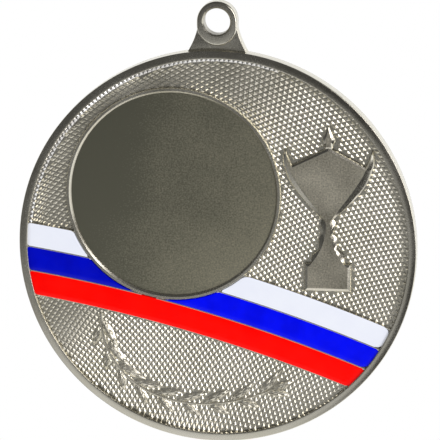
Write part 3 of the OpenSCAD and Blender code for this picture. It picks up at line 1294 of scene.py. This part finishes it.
@dataclass
class RimRow:
    """The row of wedges where the texture is cut off along the rim's upper left."""

    bench: Bench
    reliefs: Sequence[Relief]
    start: float = 72.0
    stop: float = 190.0
    half: float = 0.34
    crown: float = 0.06
    height: float = 0.2
    inset: float = 0.1
    pitch: float = 0.58
    narrow: float = 0.85
    overrun: float = 0.05
    # The wedges take the near-white copy of the plate: painted highlight.
    metal: PlatedMetal = PAINTED_HIGHLIGHT_PLATE

    def build(self) -> None:
        """Lean a wedge on the rim's wall in every step along it, with one side to the middle."""
        at = self.bench.layout
        ring = at.rim_r - self.inset
        sweep = math.radians(self.stop - self.start)
        count = round(sweep * ring / self.pitch)
        foot, crown = self.half * math.sqrt(2), self.crown * math.sqrt(2)
        square = Matrix.Diagonal((1.0, self.narrow, 1.0, 1.0)) @ Matrix.Rotation(math.pi / 4, 4, "Z")
        bm = bmesh.new()
        for k in range(count + 1):
            turn = math.radians(self.start) + sweep * k / count
            spot = Vector((math.cos(turn), math.sin(turn))) * ring
            if not taken(spot, self.reliefs):
                stand = Matrix.Translation((*spot, at.field_z - SINK + self.height / 2))
                blunt(bm, foot, crown, self.height, stand @ Matrix.Rotation(turn, 4, "Z") @ square)
        self.bench.piece("rim_row", bm, [self.metal], stands_for=(), crease=20.0)

    def limit(self, spot: Vector) -> float:
        """Find where the texture ends.

        Args:
            spot: A spot of the field.

        Returns:
            Radius up to which the texture runs in the spot's direction.
        """
        turn = math.degrees(math.atan2(spot.y, spot.x)) % 360
        inner = self.bench.layout.rim_r
        return inner - self.inset - self.half if self.start < turn < self.stop else inner + self.overrun


@dataclass
class FieldTexture:
    """The engine-turned field: cells left standing between two families of arcs."""

    bench: Bench
    reliefs: Sequence[Relief]
    row: RimRow
    centre_a: Vector = Vector((-32.06, -32.07))
    centre_b: Vector = Vector((30.63, -43.26))
    pitch: float = 0.582
    height: float = 0.125
    fill: float = 0.86
    crown: float = 0.28
    metal: PlatedMetal = STRUCK

    def cell(self, i: float, j: float) -> Vector | None:
        """Crossing of the arc i of the first family with the arc j of the second."""
        meet = circles_meet(self.centre_a, i * self.pitch, self.centre_b, j * self.pitch)
        return meet[0] if meet else None

    def span(self, centre: Vector) -> range:
        """Numbers of the arcs about a centre that cross the field."""
        far, reach = centre.length, self.bench.layout.rim_r
        return range(int((far - reach) / self.pitch), int((far + reach) / self.pitch) + 2)

    def build(self) -> None:
        """Stand a blunt pyramid in every cell of the open field."""
        bm = bmesh.new()
        for i in self.span(self.centre_a):
            strip = bmesh.new()
            for j in self.span(self.centre_b):
                self.stand(strip, i, j)
            absorb(bm, strip)
        self.bench.piece("field_texture", bm, [self.metal], stands_for=(), crease=20.0)

    def stand(self, strip: BMesh, i: int, j: int) -> None:
        """Stand one cell, unless it would be under a relief or past the texture's end.

        Args:
            strip: Mesh that receives it.
            i: Its arc of the first family.
            j: Its arc of the second family.
        """
        middle = self.cell(i, j)
        if middle is None or middle.length > self.row.limit(middle) or taken(middle, self.reliefs):
            return
        long = (self.cell(i + 0.5, j + 0.5) - self.cell(i - 0.5, j - 0.5)) / 2
        wide = (self.cell(i + 0.5, j - 0.5) - self.cell(i - 0.5, j + 0.5)) / 2
        base = self.bench.layout.field_z - SINK
        place = Matrix(((long.x, wide.x, 0, middle.x), (long.y, wide.y, 0, middle.y),
                        (0, 0, 1, base + self.height / 2), (0, 0, 0, 1)))
        blunt(strip, self.fill, self.fill * self.crown, self.height, place)


@dataclass(frozen=True)
class Patch:
    """A patch of the room that polished metal mirrors: its direction, soft edge and strength.

    The edge runs from the cosine at which the patch starts to the one at which it is full.
    """

    way: Triple
    start: float
    full: float
    strength: float


LEFT_WALL = Patch((-0.60, -0.55, -0.58), 0.86, 0.97, 0.25)
APRON = Patch((-0.10, -0.70, -0.70), 0.85, 0.93, 0.70)
RIGHT_WALL = Patch((1.0, -0.35, 0.0), 0.30, 0.42, 0.01)
FRONT = Patch((0.05, -0.97, -0.23), 0.988, 0.998, 0.35)
STRIP = Patch((0.90, -0.25, -0.36), 0.88, 0.93, 0.9)
BACKDROP = Patch((0.0, 1.0, 0.0), 0.02, 0.36, 1.0)
CEILING = Patch((0.0, 0.0, 1.0), 0.30, 0.60, 0.05)


@dataclass(frozen=True)
class Studio:
    """Floor, light and camera. Angles are in degrees and lengths in metres."""

    azimuth: float = 7.68
    elevation: float = 12.96
    distance: float = 0.440
    target: Triple = (0.00039, -0.0008, -0.02507)
    lens: float = 288.6
    sensor: float = 36.0
    clip: Point = (0.01, 50.0)
    floor_half: Point = (0.375, 0.62)
    floor_at: Triple = (0.175, 0.38, -0.40)
    floor_tone: Colour = (0.86, 0.85, 0.83)
    ambient: float = 0.82
    gloom: float = 0.06
    # Each patch of the room lies over those before it.
    room: tuple[Patch, ...] = (LEFT_WALL, APRON, RIGHT_WALL, FRONT, STRIP, BACKDROP, CEILING)
    lamp_at: Triple = (0.475, -0.413, 0.16)
    lamp_size: Point = (0.28, 0.58)
    lamp_watts: float = 2.15
    lamp_tint: Colour = (1.0, 0.97, 0.97)

    def build(self) -> None:
        """Build the stage round the medal."""
        self.camera()
        self.floor()
        self.world()
        self.lamp()
        bpy.context.scene.view_settings.view_transform = "Standard"

    def camera(self) -> None:
        """Set the camera where the photograph was taken from."""
        a, e = math.radians(self.azimuth), math.radians(self.elevation)
        back = Vector((math.sin(a) * math.cos(e), -math.cos(a) * math.cos(e), math.sin(e)))
        data = bpy.data.cameras.new("camera")
        data.lens, data.sensor_width = self.lens, self.sensor
        data.clip_start, data.clip_end = self.clip
        camera = added("camera", data)
        camera.location = Vector(self.target) + back * self.distance
        camera.rotation_euler = (-back).to_track_quat("-Z", "Y").to_euler()
        bpy.context.scene.camera = camera

    def floor(self) -> None:
        """Lay a pale floor well below the hanging medal."""
        bm = bmesh.new()
        bmesh.ops.create_grid(bm, x_segments=1, y_segments=1, size=1.0)
        bmesh.ops.scale(bm, vec=(*self.floor_half, 1.0), verts=bm.verts)
        bmesh.ops.translate(bm, vec=self.floor_at, verts=bm.verts)
        mesh = bpy.data.meshes.new("floor")
        bm.to_mesh(mesh)
        bm.free()
        material, shader = blank_material("floor")
        matt = shader.add("ShaderNodeBsdfDiffuse", {"Color": (*self.floor_tone, 1.0)})
        shader.add("ShaderNodeOutputMaterial", {"Surface": matt.outputs["BSDF"]})
        mesh.materials.append(material)
        floor = added("floor", mesh)

    def world(self) -> None:
        """Light the medal evenly, with a white backdrop behind it and a dim room in front."""
        world = bpy.data.worlds.new("studio")
        bpy.context.scene.world = world
        world.use_nodes = True
        shader = Shader(world.node_tree)
        path = shader.add("ShaderNodeLightPath").outputs
        ray = shader.add("ShaderNodeTexCoord").outputs["Generated"]
        room: Any = self.gloom
        for patch in self.room:
            share = shader.toward(ray, patch.way, patch.start, patch.full)
            room = shader.level(share, room, patch.strength)
        bounced = shader.reckon("MAXIMUM", path["Is Glossy Ray"], path["Is Transmission Ray"])
        light = shader.level(bounced, self.ambient, room)
        light = shader.level(path["Is Camera Ray"], light, 1.0)
        sky = shader.add("ShaderNodeBackground", {"Color": (1.0, 1.0, 1.0, 1.0), "Strength": light})
        shader.add("ShaderNodeOutputWorld", {"Surface": sky.outputs["Background"]})

    def lamp(self) -> None:
        """Hang a soft lamp at the right that faces the medal."""
        data = bpy.data.lights.new("lamp_right", "AREA")
        data.shape = "RECTANGLE"
        data.size, data.size_y = self.lamp_size
        data.energy, data.color = self.lamp_watts, self.lamp_tint
        lamp = added("lamp_right", data)
        lamp.location = self.lamp_at
        aim = Vector(self.target) - Vector(self.lamp_at)
        lamp.rotation_euler = aim.to_track_quat("-Z", "Y").to_euler()


def main() -> None:
    """Build the stage and then the medal, piece by piece."""
    logging.basicConfig(level=logging.INFO, format="%(name)s: %(message)s")
    Studio().build()
    bench = Bench(Layout.from_frame(frame))
    Disc(bench).build()
    Lug(bench).build()
    seat = EmblemSeat(bench)
    reliefs = [seat, Band(bench, seat.ring_r), Cup(bench), Branch(bench)]
    for relief in reliefs:
        relief.build()
    row = RimRow(bench, reliefs)
    row.build()
    FieldTexture(bench, reliefs, row).build()


if __name__ == "__main__":
    main()
